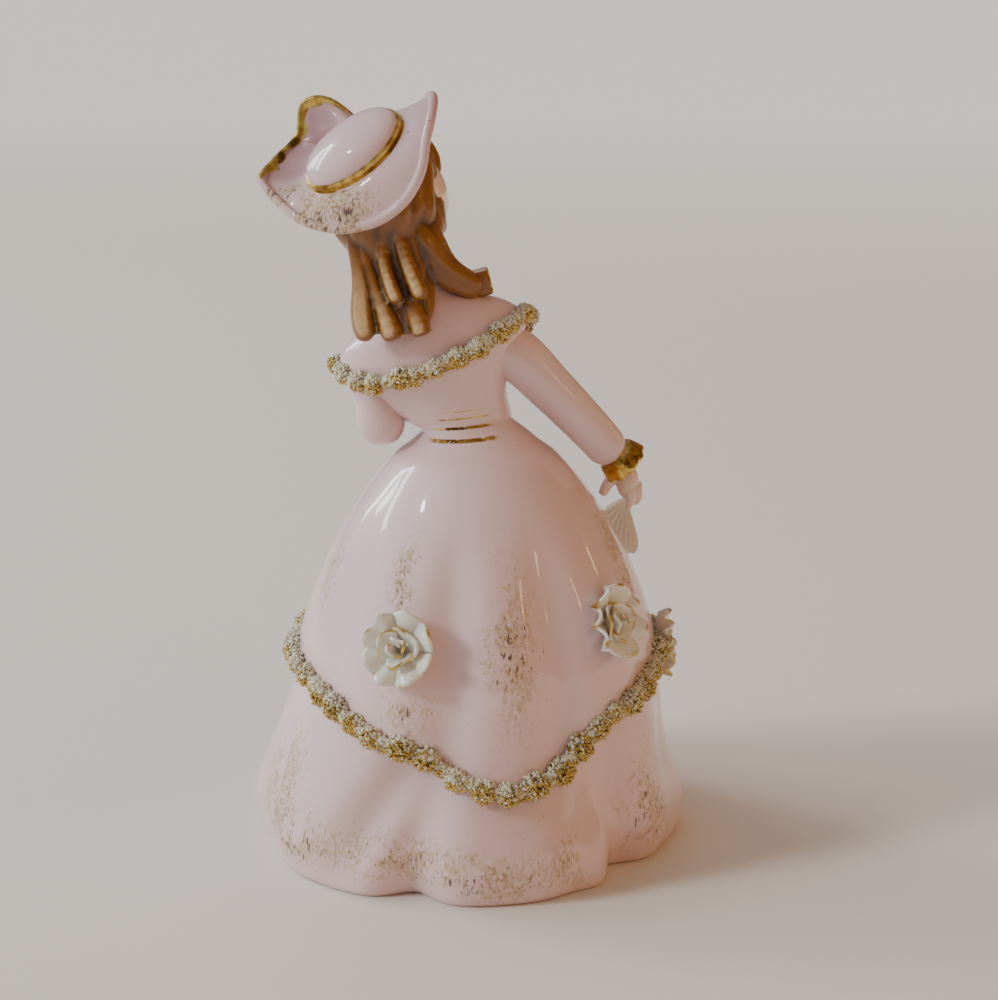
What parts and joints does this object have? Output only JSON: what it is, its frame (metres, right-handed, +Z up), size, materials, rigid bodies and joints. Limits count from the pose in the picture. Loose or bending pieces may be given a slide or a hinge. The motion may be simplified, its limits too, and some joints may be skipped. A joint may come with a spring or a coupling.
{
  "type": "porcelain lady figurine",
  "caption": "Standing porcelain lady in a wide gown, with picture hat, ringlets, applied roses, crumbled trim and an open fan, on a flat underside.",
  "frame": {"origin": "middle of the flat underside of the gown", "axes": "+Z up, the gown faces -Y, her right hand is at -X"},
  "size_m": [0.1123, 0.1078, 0.1909],
  "materials": {
    "figure_glaze": "glossy pink glaze with golden brown hair and rubbed gold",
    "trim_porcelain": "crumbly cream porcelain touched with gold",
    "rose_glaze": "glossy cream glaze with thin gold rims",
    "fan_glaze": "glossy cream glaze"
  },
  "bodies": {
    "root": {"figurine": "figure_glaze", "neckline_trim": "trim_porcelain", "skirt_trim": "trim_porcelain", "rose_back_left": "rose_glaze", "rose_back_right": "rose_glaze", "rose_right_hip": "rose_glaze", "rose_front": "rose_glaze", "fan": "fan_glaze"}
  },
  "joints": []
}
